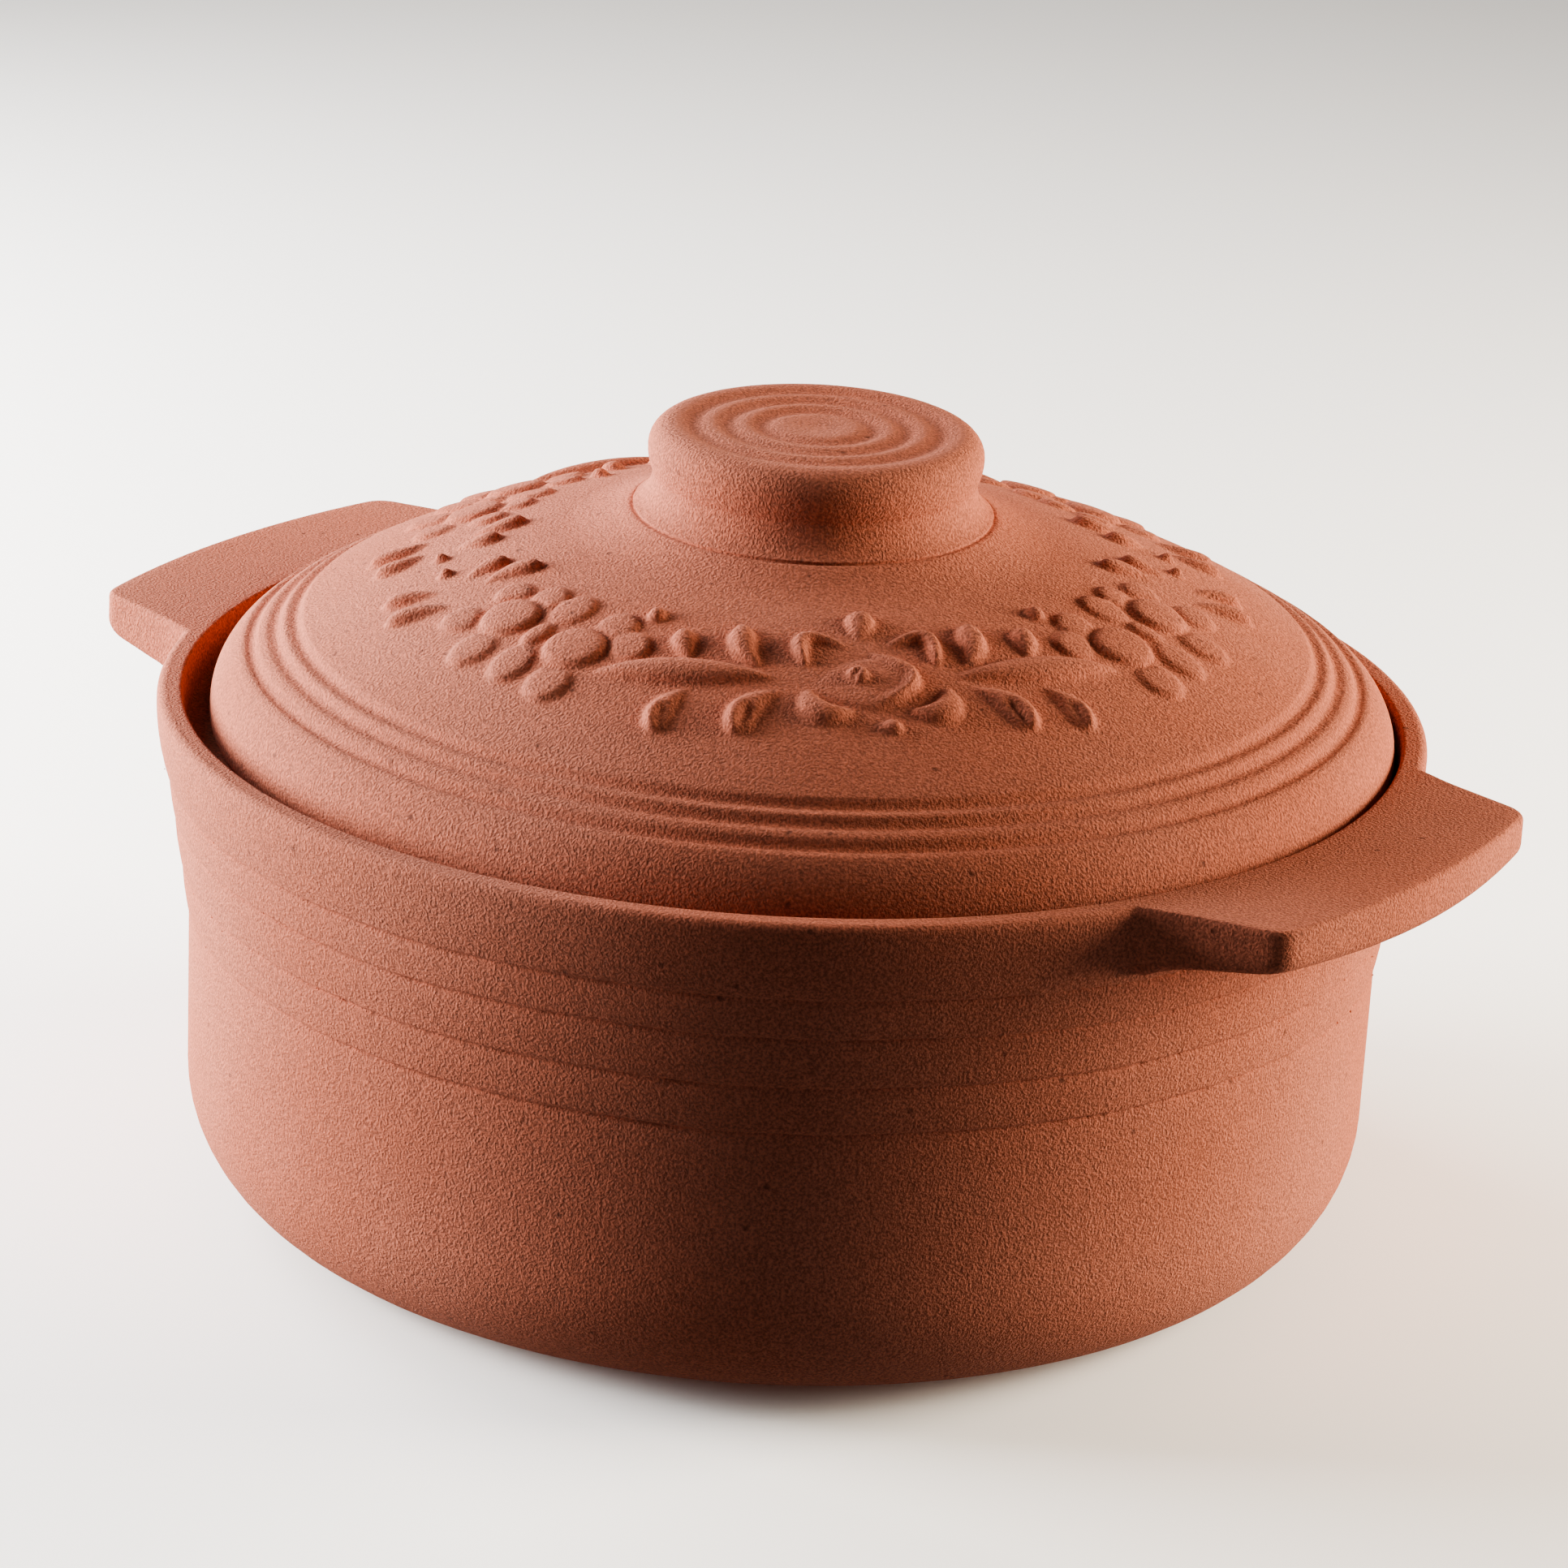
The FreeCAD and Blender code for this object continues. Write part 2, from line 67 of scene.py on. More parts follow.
class PotSettings(bpy.types.PropertyGroup):
    """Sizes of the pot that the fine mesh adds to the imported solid."""

    crease_softness: bpy.props.FloatProperty(
        name="Crease softness", description="How far the thrown creases are rubbed soft, in mm",
        default=0.14, min=0.0, max=1.0)
    crease_raggedness: bpy.props.FloatProperty(
        name="Crease raggedness", description="Depth of the nicks along each crease, in mm",
        default=0.7, min=0.0, max=2.0)
    root_softness: bpy.props.FloatProperty(
        name="Handle root softness", description="Radius where a handle's side runs into the rim, in mm",
        default=1.6, min=0.2, max=6.0)


class LidSettings(bpy.types.PropertyGroup):
    """Sizes of the lid's relief."""

    relief_height: bpy.props.FloatProperty(
        name="Relief height", description="Height of the wreath against the modelled one",
        default=1.0, min=0.2, max=2.0, subtype="FACTOR")
    relief_softness: bpy.props.IntProperty(
        name="Relief softness", description="How many times the wreath is rubbed soft by the slip",
        default=1, min=0, max=8)


class ClaySettings(bpy.types.PropertyGroup):
    """Colours and grain of the bare fired clay."""

    body_colour: bpy.props.FloatVectorProperty(
        name="Body", description="Fired clay", subtype="COLOR", size=3, min=0, max=1,
        default=linear("#AE6249"))
    dust_colour: bpy.props.FloatVectorProperty(
        name="Dust", description="Pale clay dust left dry in low spots", subtype="COLOR", size=3, min=0,
        max=1, default=linear("#CA8D7A"))
    grain_size: bpy.props.FloatProperty(
        name="Grain", description="Size of the sand grains that roughen the skin", default=0.28 * MM,
        min=0.0001, max=0.005, subtype="DISTANCE", unit="LENGTH")


class CrumbSettings(bpy.types.PropertyGroup):
    """Crumbs of clay left in the creases."""

    count: bpy.props.IntProperty(
        name="Crumbs a crease", description="Number of crumbs along each crease", default=110, min=0)
    size: bpy.props.FloatProperty(
        name="Crumb size", description="Radius of the largest crumb", default=0.32 * MM, min=0.0,
        subtype="DISTANCE", unit="LENGTH")


class StageSettings(bpy.types.PropertyGroup):
    """Floor, lights and camera."""

    floor_colour: bpy.props.FloatVectorProperty(
        name="Floor", description="Pale matt studio floor", subtype="COLOR", size=3, min=0, max=1,
        default=linear("#FBFAF9"))
    azimuth: bpy.props.FloatProperty(
        name="Azimuth", description="Turn of the camera round the pot", default=math.radians(34.9),
        subtype="ANGLE", unit="ROTATION")
    elevation: bpy.props.FloatProperty(
        name="Elevation", description="Height of the camera above the horizon",
        default=math.radians(19.82), subtype="ANGLE", unit="ROTATION")
    roll: bpy.props.FloatProperty(
        name="Roll", description="Tilt of the camera about its own axis", default=math.radians(2.91),
        subtype="ANGLE", unit="ROTATION")


def mesh_object(name, points, faces, material):
    """A closed smooth mesh in the row frame, its faces turned outwards."""
    mesh = bpy.data.meshes.new(name)
    mesh.from_pydata([tuple(point) for point in points * MM], [], faces)
    mesh.validate()
    work = bmesh.new()
    work.from_mesh(mesh)
    bmesh.ops.recalc_face_normals(work, faces=work.faces)
    work.to_mesh(mesh)
    work.free()
    mesh.shade_smooth()
    mesh.materials.append(material)
    piece = bpy.data.objects.new(name, mesh)
    bpy.context.scene.collection.objects.link(piece)
    return piece


def stitch(rings):
    """Joins closed rings of points into one skin. A ring may have as many points as its neighbour,
    twice as many or half as many; the first and last rings are closed to a pole."""
    points = [np.mean(rings[0], axis=0, keepdims=True), *rings, np.mean(rings[-1], axis=0, keepdims=True)]
    starts = np.cumsum([0] + [len(ring) for ring in points])
    faces = []
    for number in range(1, len(points) - 2):
        here, there = starts[number], starts[number + 1]
        few, many = len(points[number]), len(points[number + 1])
        if few == many:
            for i in range(few):
                j = (i + 1) % few
                faces.append((here + i, here + j, there + j, there + i))
            continue
        flip = few > many
        if flip:
            here, there, few, many = there, here, many, few
        for i in range(few):
            j = (i + 1) % few
            left, middle, right = there + 2 * i, there + 2 * i + 1, there + (2 * i + 2) % many
            for face in ((here + i, middle, left), (here + i, here + j, middle), (here + j, right, middle)):
                faces.append(face[::-1] if flip else face)
    for pole, ring in ((0, 1), (len(points) - 1, len(points) - 2)):
        size = len(points[ring])
        for i in range(size):
            faces.append((starts[pole], starts[ring] + (i + 1) % size, starts[ring] + i))
    return np.concatenate(points), faces


def arc(centre, radius, start, end, count):
    """Points (radius from the axis, height) of an arc, its angles in degrees."""
    turn = np.radians(np.linspace(start, end, count))
    return [(centre[0] + radius * math.cos(t), centre[1] + radius * math.sin(t)) for t in turn]


# The pot, in millimetres. Heights are above the foot.
POT_TOP = POT_BOX[1].z / MM
RIM_OUTER, RIM_ROUND = 130.2, 1.8
CREASES = ((62.6, 122.9), (72.6, 124.4), (83.2, 126.1), (91.7, 127.5))
CREASE_RISE, CREASE_STEP, BAND_CURVE, NICK_REACH = 0.8, 0.5, 40.0, 0.38
WALL_RADIUS, BASE_ROUND, INNER_RADIUS, FLOOR = 122.5, 27.5, 113.0, 9.0
LEDGE, LEDGE_ROUND, LIP_ROUND = 100.0, 1.2, 0.8
WALL_LOW = 93.6
HANDLE_REACH = POT_BOX[1].x / MM
HANDLE_TIP_CURVE, HANDLE_CORNER = 200.0, 4.0
HANDLE_TOP_ROUND, HANDLE_UNDER_ROUND = 1.2, 3.0
HANDLE_TIP_HALF, HANDLE_WAIST_HALF, HANDLE_ROOT_HALF = 45.8, 49.6, 56.0
UNDERSIDE_BEND, UNDERSIDE_SLOPE, UNDERSIDE_HOLLOW = (132.0, 97.1), 0.0772, 0.01642
# the crack's middle, half its length and its depth, all as turns in degrees
CRACK_TURN, CRACK_REACH, CRACK_DEPTH = 198.3, 1.1, 0.42
# the rings down a handle's side, as shares of its height; the crack follows the third
SIDE_RINGS, CRACK_RING = (0.08, 0.15, 0.22, 0.29, 0.36, 0.55, 0.78, 1.0), 0.22


def wall_radius(height, softness):
    """Outer radius of the pot's upright wall at each height, with its four bands and creases."""
    step = 0.05
    levels = np.arange(BASE_ROUND - 2, POT_TOP + 2, step)
    corners = [(BASE_ROUND - 2, WALL_RADIUS), (BASE_ROUND, WALL_RADIUS)]
    for level, radius in CREASES:
        corners += [(level, radius), (level + CREASE_RISE, radius + CREASE_STEP)]
    corners += [(POT_TOP - RIM_ROUND, RIM_OUTER), (POT_TOP + 2, RIM_OUTER)]
    heights, radii = np.array(corners).T
    wall = np.interp(levels, heights, radii)
    for low, high in zip(heights[3:-1:2], heights[4::2]):
        share = np.clip((levels - low) / (high - low), 0, 1)
        wall += 4 * (high - low) ** 2 / (8 * BAND_CURVE) * share * (1 - share)
    reach = int(4 * softness / step)
    kernel = np.exp(-0.5 * (np.arange(-reach, reach + 1) * step / max(softness, 0.01)) ** 2)
    padded = np.pad(wall, reach, mode="edge")
    return np.interp(height, levels, np.convolve(padded, kernel / kernel.sum(), mode="valid"))


def ragged(turns, seed):
    """An uneven share from 0 to 1 for each column round the pot."""
    share = np.random.default_rng(seed).random(len(turns)) ** 2
    return (np.roll(share, 1) + 2 * share + np.roll(share, -1)) / 4


def band_radius(turns, height, settings):
    """Outer radius of the wall round the pot at one height: its creases wander a little and are nicked."""
    angle = np.radians(turns)
    wander = 0.12 * np.sin(5 * angle + height / 9) + 0.1 * np.sin(11 * angle) + 0.06 * np.sin(27 * angle)
    reached = height + wander
    radius = wall_radius(reached, settings.crease_softness)
    for number, (low, _) in enumerate(CREASES):
        depth = settings.crease_raggedness * (0.15 + ragged(turns, number))
        radius = radius - depth * np.exp(-(((reached - low - 0.1) / NICK_REACH) ** 2))
    return radius


def handle_outline():
    """Distance of a handle's edge from the pot's axis, by the turn away from the handle's middle."""
    centre = HANDLE_REACH - HANDLE_TIP_CURVE
    tip = np.array([centre + math.sqrt(HANDLE_TIP_CURVE**2 - HANDLE_TIP_HALF**2), HANDLE_TIP_HALF])
    waist = np.array([RIM_OUTER, HANDLE_WAIST_HALF])
    root = np.array([113.75, HANDLE_ROOT_HALF])
    sweep = np.linspace(0, 1, 40)[:, None]
    side = waist + (tip - waist) * sweep
    pull = waist + (waist - tip) / np.linalg.norm(tip - waist) * 8.5
    bend = (1 - sweep) ** 2 * root + 2 * sweep * (1 - sweep) * pull + sweep**2 * waist
    turns = np.linspace(math.asin(HANDLE_TIP_HALF / HANDLE_TIP_CURVE), 0, 60)[:, None]
    end = np.hstack([centre + HANDLE_TIP_CURVE * np.cos(turns), HANDLE_TIP_CURVE * np.sin(turns)])
    path = np.vstack([bend, side[1:], end[1:]])
    near = np.linalg.norm(path - tip, axis=1) < HANDLE_CORNER * 0.9
    before, after = path[~near & (path[:, 0] < tip[0])], path[~near & (path[:, 0] >= tip[0])]
    blend = np.linspace(0, 1, 14)[1:-1, None]
    round_corner = (1 - blend) ** 2 * before[-1] + 2 * blend * (1 - blend) * tip + blend**2 * after[0]
    path = np.vstack([before, round_corner, after])
    turn = np.degrees(np.arctan2(path[:, 1], path[:, 0]))
    order = np.argsort(turn)
    return turn[order], np.hypot(path[:, 0], path[:, 1])[order]


def underside(x, y):
    """Height of a handle's underside: a hollow beside the wall, then a slow rise to the tip, a little
    fuller in the middle than at the corners."""
    out = x - UNDERSIDE_BEND[0]
    hollow = np.minimum(out, 0) ** 2 * UNDERSIDE_HOLLOW
    fullness = np.clip(out / 20, 0, 1) * (2.0 * (y / HANDLE_TIP_HALF) ** 2 - 0.8)
    return UNDERSIDE_BEND[1] + out * UNDERSIDE_SLOPE - hollow + fullness


def soft_larger(first, second, softness):
    """The larger of two lengths, with a hollow of about this radius where they meet."""
    gap = np.clip(0.5 + 0.5 * (first - second) / softness, 0, 1)
    return first * gap + second * (1 - gap) + softness * gap * (1 - gap) * 0.5


def pot_turns():
    """Turn of each column of the pot's skin in degrees, closest where a handle's edge bends."""
    quarter = np.concatenate([
        np.linspace(start, end, count, endpoint=False)
        for start, end, count in ((0, 16, 23), (16, 18.4, 15), (18.4, 28, 30), (28, 90, 62))])
    half = np.concatenate([quarter, [90.0], 180 - quarter[::-1]])
    return np.concatenate([half, 360 - half[-2:0:-1]])


def pot_skin(settings):
    """Rings of the pot's skin, from the middle of the floor inside, over the rim and handles, to the
    middle of the foot."""
    turns = pot_turns()
    fold = np.abs((turns + 90) % 180 - 90)
    edge_turn, edge_reach = handle_outline()
    reach = np.interp(fold, edge_turn, edge_reach, right=0.0)
    soft = settings.root_softness
    outer = soft_larger(reach, np.full_like(reach, RIM_OUTER), soft)
    outer = np.maximum(outer, RIM_OUTER)
    stand_out = outer - RIM_OUTER
    share = np.clip(stand_out / 3.0, 0, 1)
    share = share * share * (3 - 2 * share)
    cosine, sine = np.cos(np.radians(fold)), np.sin(np.radians(fold))

    def level(radius, height):
        return np.stack([np.full_like(turns, radius), np.full_like(turns, height)], axis=1)

    rings = [level(radius, FLOOR) for radius in (6, 30, 60, 84, 94)]
    rings += [level(*point) for point in arc((94, 28), 19, -90, 0, 9)[1:]]
    rings += [level(INNER_RADIUS, height) for height in (50, 75, LEDGE - LEDGE_ROUND)]
    rings += [level(*point) for point in arc((114.2, 98.8), LEDGE_ROUND, 180, 90, 5)[1:]]
    rings += [level(radius, LEDGE) for radius in (116, 119, 122, 123.3)]
    rings += [level(*point) for point in arc((123.3, 100.7), 0.7, -90, 0, 4)[1:]]
    rings += [level(124.4, 103.5), level(124.8, 106.0)]
    rings += [level(*point) for point in arc((125.8, 107.2), LIP_ROUND, 180, 90, 5)]

    # over the top to the outer edge
    edge = RIM_ROUND + (HANDLE_TOP_ROUND - RIM_ROUND) * share
    for part in np.linspace(0, 1, 11)[1:]:
        radius = 125.8 + (outer - edge - 125.8) * part
        rings.append(np.stack([radius, np.full_like(radius, POT_TOP)], axis=1))
    for angle in np.radians([72, 54, 36, 18, 0]):
        rings.append(np.stack(
            [outer - edge + edge * math.cos(angle), POT_TOP - edge + edge * math.sin(angle)], axis=1))

    # down the side: a handle's thin edge, or the rim's outer wall
    side_end = np.maximum(underside(outer * cosine, outer * sine) + HANDLE_UNDER_ROUND, 95.5)
    softness = settings.crease_softness

    def side_ring(height, radius_out):
        return soft_larger(radius_out, wall_radius(height, softness), soft)

    # a ragged crack under the top edge of one handle's side
    crack = CRACK_DEPTH * np.exp(-(((turns - CRACK_TURN) / CRACK_REACH) ** 4)) * (0.3 + ragged(turns, 40))
    dented = np.interp(fold + crack, edge_turn, edge_reach, right=0.0)
    for part in SIDE_RINGS:
        height = (POT_TOP - edge) * (1 - part) + side_end * part
        face = dented if part == CRACK_RING else reach
        rings.append(np.stack([side_ring(height, face), height], axis=1))
    last_side = rings[-1]

    # under a handle back to the wall; elsewhere straight down the wall
    inner = wall_radius(np.full_like(turns, WALL_LOW + 0.6), softness)
    rounding, flat = 6, 10
    for number in range(1, rounding + flat + 1):
        part = number / (rounding + flat)
        down = last_side[:, 1] * (1 - part) + WALL_LOW * part
        plain = np.stack([side_ring(down, np.zeros_like(down)), down], axis=1)
        angle = math.radians(90 * min(number / rounding, 1))
        radius = last_side[:, 0] - HANDLE_UNDER_ROUND * (1 - math.cos(angle))
        radius = radius + (inner - radius) * max(number - rounding, 0) / flat
        height = underside(radius * cosine, radius * sine) + HANDLE_UNDER_ROUND * (1 - math.sin(angle))
        under = np.stack([radius, np.maximum(height, WALL_LOW)], axis=1)
        rings.append(under * share[:, None] + plain * (1 - share[:, None]))

    # down the bands, close together at each crease
    heights = [93.1]
    for low, _ in CREASES[::-1]:
        heights += [low + offset for offset in (1.25, 0.95, 0.7, 0.45, 0.2, -0.05, -0.35, -0.8)]
        heights += [low - 3.0, low - 5.5]
    heights += [50, 43, 36, 30]
    for height in heights:
        rings.append(np.stack([band_radius(turns, height, settings), np.full_like(turns, height)], axis=1))
    corner = arc((WALL_RADIUS - BASE_ROUND, BASE_ROUND), BASE_ROUND, 0, -90, 15)
    rings += [level(*point) for point in corner]
    rings += [level(radius, 0) for radius in (80, 50, 20)]
    cos_all, sin_all = np.cos(np.radians(turns)), np.sin(np.radians(turns))
    return [np.stack([r[:, 0] * cos_all, r[:, 0] * sin_all, r[:, 1]], axis=1) for r in rings]


# The lid, in millimetres. Heights are above the face that stands on the ledge.
LID_SHIFT, LID_TURN, LID_SEAT = (1.6, 1.4), -45.6, 100.0
DOME_RADIUS, DOME_APEX, LID_WALL = 218.58, 49.5, 8.5
EDGE_VALLEYS, VALLEY_DEPTH, VALLEY_WIDTH = (104.7, 108.8, 113.6), 0.9, 4.1
KNOB_HEIGHT, KNOB_ROUND = 66.4, 5.0
KNOB_GROOVES, KNOB_GROOVE_DEPTH = (11.2, 18.1, 25.0), 0.85
WREATH_RADIUS = 75.0

# The wreath's forms: turn in degrees and distance in mm from the wreath's circle, for the tip and then
# for the far end; width, sideways bow, height, how each end closes, its profile, and how much lower
# the tip's end lies.
POINTED, ROUND = 1.0, 0.5
PLAIN, PILLOW, LEANING = "one roll", "a flat top", "a roll that leans inwards"
SPLIT, SCOOP = "two rolls", "a scoop"
ROSE = [
    ((-8.8, 0.8), (6.2, -2.2), 15.0, 0.0, 1.5, 0.9, ROUND, PILLOW, 0.1),
    ((1.0, -10.2), (-0.6, 4.6), 5.2, 7.5, 2.6, 0.8, 0.8, SCOOP, 0.8),
    ((-0.1, -14.6), (1.8, -23.2), 5.8, 0.0, 2.3, POINTED, ROUND, PLAIN, 0.5),
    ((-0.2, 11.0), (3.2, 10.8), 3.8, 0.0, 2.0, POINTED, ROUND, PLAIN, 0.3),
]
# the forms round each rose, mirrored about a line a little beside the wreath's own
CALYX = [
    ((3.8, -12.4), (11.0, -6.2), 3.5, 6.5, 2.3, 0.65, ROUND, PLAIN, 0.75),
    ((10.2, 1.0), (3.8, 6.6), 6.2, 4.4, 2.2, 0.7, 0.7, LEANING, 0.8),
    ((14.2, 1.5), (19.0, 14.2), 6.4, 2.7, 2.5, POINTED, ROUND, SPLIT, 0.5),
]
CALYX_TURN = 1.2
SPRAY = [
    ((16.0, -4.6), (21.2, -16.4), 5.6, -2.2, 2.6, POINTED, ROUND, PLAIN, 0.7),
    ((27.8, -4.2), (31.8, -12.6), 5.0, -0.8, 2.2, POINTED, ROUND, PLAIN, 0.6),
    ((38.4, -13.8), (40.4, -17.2), 3.8, 0.0, 1.8, ROUND, ROUND, PLAIN, 1.0),
    ((14.6, -2.0), (41.6, 4.6), 7.6, 2.0, 2.3, POINTED, POINTED, PLAIN, 0.9),
    ((26.0, 3.8), (27.6, 16.4), 5.4, 2.2, 2.2, POINTED, ROUND, SPLIT, 0.5),
]
HEARTS = [
    ((42.0, -0.1), (51.8, -0.1), 12.6, 0.0, 1.5, ROUND, ROUND, PILLOW, 1.0),
    ((57.8, -1.5), (67.4, -1.5), 12.2, 0.0, 1.5, ROUND, ROUND, PILLOW, 1.0),
]
PETALS = [
    ((41.4, -2.6), (36.0, -6.8), 9.2, 0.0, 1.15, ROUND, ROUND, PILLOW, 0.6),
    ((44.8, -5.6), (43.2, -13.4), 8.2, 0.0, 1.15, ROUND, ROUND, PILLOW, 0.6),
    ((54.6, -4.6), (54.8, -14.8), 8.2, 0.0, 1.15, ROUND, ROUND, PILLOW, 0.6),
    ((61.8, -6.4), (61.8, -14.2), 7.8, 0.0, 1.15, ROUND, ROUND, PILLOW, 0.6),
    ((66.6, -5.4), (71.6, -8.8), 8.0, 0.0, 1.15, ROUND, ROUND, PILLOW, 0.6),
    ((66.8, 2.0), (71.6, 7.0), 8.6, 0.0, 1.15, ROUND, ROUND, PILLOW, 0.6),
    ((61.4, 4.0), (60.4, 14.2), 8.8, 0.0, 1.2, ROUND, ROUND, PILLOW, 0.6),
    ((54.0, 3.0), (52.2, 13.8), 8.4, 0.0, 1.2, ROUND, ROUND, PILLOW, 0.6),
    ((46.6, 5.6), (44.4, 15.0), 9.2, 0.0, 1.2, ROUND, ROUND, PILLOW, 0.6),
    ((54.9, -4.2), (54.9, 3.2), 4.6, 0.0, 1.0, ROUND, ROUND, PILLOW, 1.0),
]
SIDE_SPRIG = [
    ((77.4, -4.6), (75.2, -16.2), 5.4, -1.4, 2.2, POINTED, ROUND, PLAIN, 0.5),
    ((81.6, -2.6), (82.6, -11.8), 5.0, -1.2, 2.1, POINTED, ROUND, PLAIN, 0.5),
    ((74.6, 3.6), (78.0, 15.2), 5.4, 1.4, 2.2, POINTED, ROUND, PLAIN, 0.5),
    ((80.6, 3.6), (83.6, 13.4), 5.0, 1.2, 2.1, POINTED, ROUND, PLAIN, 0.5),
    ((85.3, 0.2), (87.3, 0.2), 3.2, 0.0, 1.7, ROUND, ROUND, PLAIN, 1.0),
]
CURL_PLACE, CURL_RADIUS, CURL_HEIGHT = (-1.5, -2.8), 1.1, 1.7


def half_round(across, centre, half_width):
    """A half-round roll's height over its width."""
    return np.sqrt(np.clip(1 - ((across - centre) / half_width) ** 2, 0, 1))


def cross_section(kind, across, station):
    """Height of a form across its width, from -1 on its hollow side to 1 on its bowed side."""
    if kind == PILLOW:
        return np.clip(1 - across**2, 0, 1) ** 0.2
    if kind == LEANING:
        return np.where(across < -0.35, half_round(across, -0.35, 0.65), half_round(across, -0.35, 1.35))
    roll = half_round(across, 0, 1)
    if kind == PLAIN:
        return roll
    fade = np.clip((station - (0.38 if kind == SPLIT else 0.25)) / 0.25, 0, 1)
    fade = fade * fade * (3 - 2 * fade)
    if kind == SPLIT:
        shaped = np.maximum(half_round(across, 0.42, 0.58), 0.45 * half_round(across, -0.58, 0.42))
    else:
        slope = np.clip((across + 1) / 1.45, 0, 1)
        dish = 0.2 * (slope > 0) + 0.8 * slope**1.6
        shaped = np.where(across > 0.45, half_round(across, 0.45, 0.55), dish)
    return roll * (1 - fade) + shaped * fade


def form_relief(form, side, turns, radii):
    """One leaf, petal or heart: the rows and columns of the dome's grid that it covers, and its height
    there. A negative side gives the mirror image."""
    (tip_turn, tip_out), (end_turn, end_out), width, bow, height, near, far, kind, tip_share = form
    middle = WREATH_RADIUS + (tip_out + end_out) / 2
    slant = math.sqrt(1 - (middle / DOME_RADIUS) ** 2)
    half = np.array([math.radians(end_turn - tip_turn) * middle / 2, (end_out - tip_out) / slant / 2])
    length = np.linalg.norm(half)
    beside = np.array([half[1], -half[0]]) / length
    # the grid's rows and columns near the form
    limit = length + abs(bow) + width
    away = (turns - side * (tip_turn + end_turn) / 2 + 180) % 360 - 180
    rows = np.flatnonzero(np.abs(radii - middle) < limit)
    columns = np.flatnonzero(np.abs(np.radians(away)) * middle < limit * 1.4)
    radius = radii[rows][:, None]
    across = np.stack(np.broadcast_arrays(
        np.radians(away[columns]) * side * radius, (radius - middle) / slant), axis=-1)
    # the nearest place on the form's curved spine
    steps = np.linspace(0, 1, 33)[:, None]
    spine = half * (2 * steps - 1) + beside * (4 * bow * steps * (1 - steps))
    heading = half * 2 + beside * (4 * bow * (1 - 2 * steps))
    nearest = np.argmin(((across[..., None, :] - spine) ** 2).sum(axis=-1), axis=-1)
    offset, ahead = across - spine[nearest], heading[nearest]
    size = (ahead**2).sum(axis=-1)
    station = steps[nearest, 0] + (offset * ahead).sum(axis=-1) / size
    sideways = (offset[..., 0] * ahead[..., 1] - offset[..., 1] * ahead[..., 0]) / np.sqrt(size)
    within = (station > 0) & (station < 1)
    station = np.clip(station, 0, 1)
    fullest = near / (near + far)
    swell = station**near * (1 - station) ** far / (fullest**near * (1 - fullest) ** far)
    across = sideways / np.maximum(width / 2 * swell, 1e-6) * (1 if bow >= 0 else -1)
    lift = cross_section(kind, np.clip(across, -1, 1), station) * swell ** (0.3 if kind == PILLOW else 0.7)
    lift = np.where(within & (np.abs(across) < 1), lift, 0)
    return np.ix_(rows, columns), height * lift * (tip_share + (1 - tip_share) * station)


def wreath_height(turns, radii, settings):
    """Height of the whole wreath over each point of the dome: its forms melt together where they
    meet, but a groove stays open round each flower's heart."""
    power = 6
    hearts, others, moat = (np.zeros((len(radii), len(turns))) for _ in range(3))
    for start in (0, 180):
        here = turns - start
        for side in (1, -1):
            for form in HEARTS:
                place, lift = form_relief(form, side, here, radii)
                hearts[place] += lift**power
                (tip_turn, tip_out), (end_turn, end_out), width, *rest = form
                wider = ((tip_turn - 1.1, tip_out), (end_turn + 1.1, end_out), width * 1.22, *rest)
                place, lift = form_relief(wider, side, here, radii)
                moat[place] = np.maximum(moat[place], np.clip(lift, 0, 1))
            for form in SPRAY + PETALS + SIDE_SPRIG:
                place, lift = form_relief(form, side, here, radii)
                others[place] += lift**power
            for form in CALYX:
                place, lift = form_relief(form, side, here - CALYX_TURN, radii)
                others[place] += lift**power
        for form in ROSE:
            place, lift = form_relief(form, 1, here, radii)
            others[place] += lift**power
    relief = (hearts + others * (1 - 0.85 * moat) ** power) ** (1 / power)
    for start in (0, 180):
        relief += rose_curl(turns - start, radii)
    for _ in range(settings.relief_softness):
        relief = (np.roll(relief, 1, axis=1) + 2 * relief + np.roll(relief, -1, axis=1)) / 4
        ends = np.pad(relief, ((1, 1), (0, 0)), mode="edge")
        relief = (ends[:-2] + 2 * relief + ends[2:]) / 4
    return relief * settings.relief_height


def rose_curl(turns, radii):
    """The small curl in the heart of a rose: a ring that is open on one side."""
    radius = radii[:, None]
    right = np.radians((turns - CURL_PLACE[0] + 180) % 360 - 180) * radius
    down = radius - WREATH_RADIUS - CURL_PLACE[1]
    distance, bearing = np.hypot(right, down), np.arctan2(down, right)
    gap = np.clip(np.abs(bearing - 2.4) / 0.7, 0.15, 1)
    return CURL_HEIGHT * gap * half_round(distance, CURL_RADIUS, 0.95)


def dome_height(radius):
    """Height of the lid's plain dome."""
    return DOME_APEX - DOME_RADIUS + np.sqrt(DOME_RADIUS**2 - radius**2)


def valley_depth(radius):
    """Depth of the three rings of valleys round the lid's edge."""
    depth = np.zeros_like(radius)
    for centre in EDGE_VALLEYS:
        share = np.clip(np.abs(radius - centre) / (VALLEY_WIDTH / 2), 0, 1)
        depth += VALLEY_DEPTH * 0.5 * (1 + np.cos(math.pi * share))
    return depth


